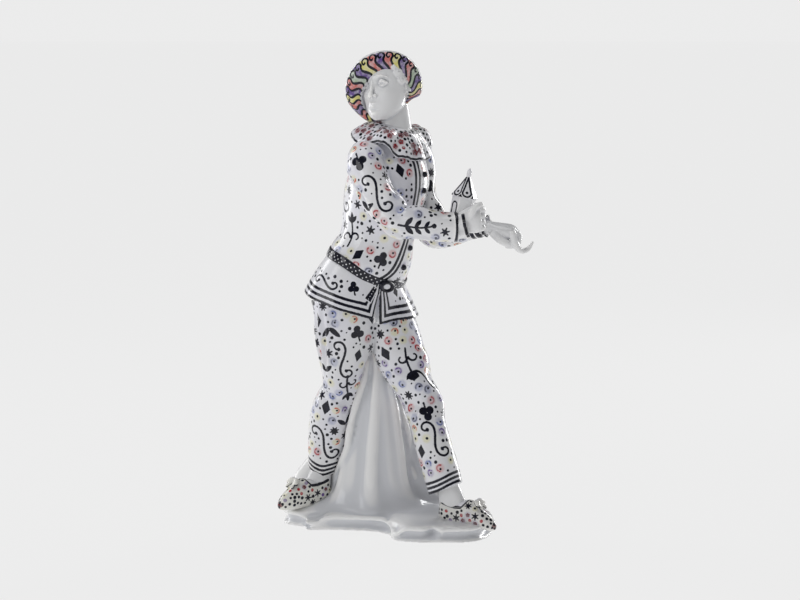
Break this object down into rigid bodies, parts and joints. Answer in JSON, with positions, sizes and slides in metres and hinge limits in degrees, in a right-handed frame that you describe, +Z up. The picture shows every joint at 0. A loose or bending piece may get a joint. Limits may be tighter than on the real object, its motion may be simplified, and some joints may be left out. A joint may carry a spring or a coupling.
{
  "type": "porcelain commedia dell'arte figurine",
  "caption": "Standing porcelain player in round hat, ruff, belted jacket and loose trousers, holding a small lantern, on a low scrolled base with a draped stump.",
  "frame": {"origin": "middle of the base's flat underside", "axes": "+Z up, -Y towards the viewer that the chest and hands are turned to, +X to that viewer's right"},
  "size_m": [0.1338, 0.075, 0.2502],
  "materials": {
    "porcelain": "white glazed porcelain, hand painted over the glaze with a scattered pattern in black, navy, red, yellow and violet"
  },
  "bodies": {
    "root": {"porcelain_figure": "porcelain"}
  },
  "joints": []
}
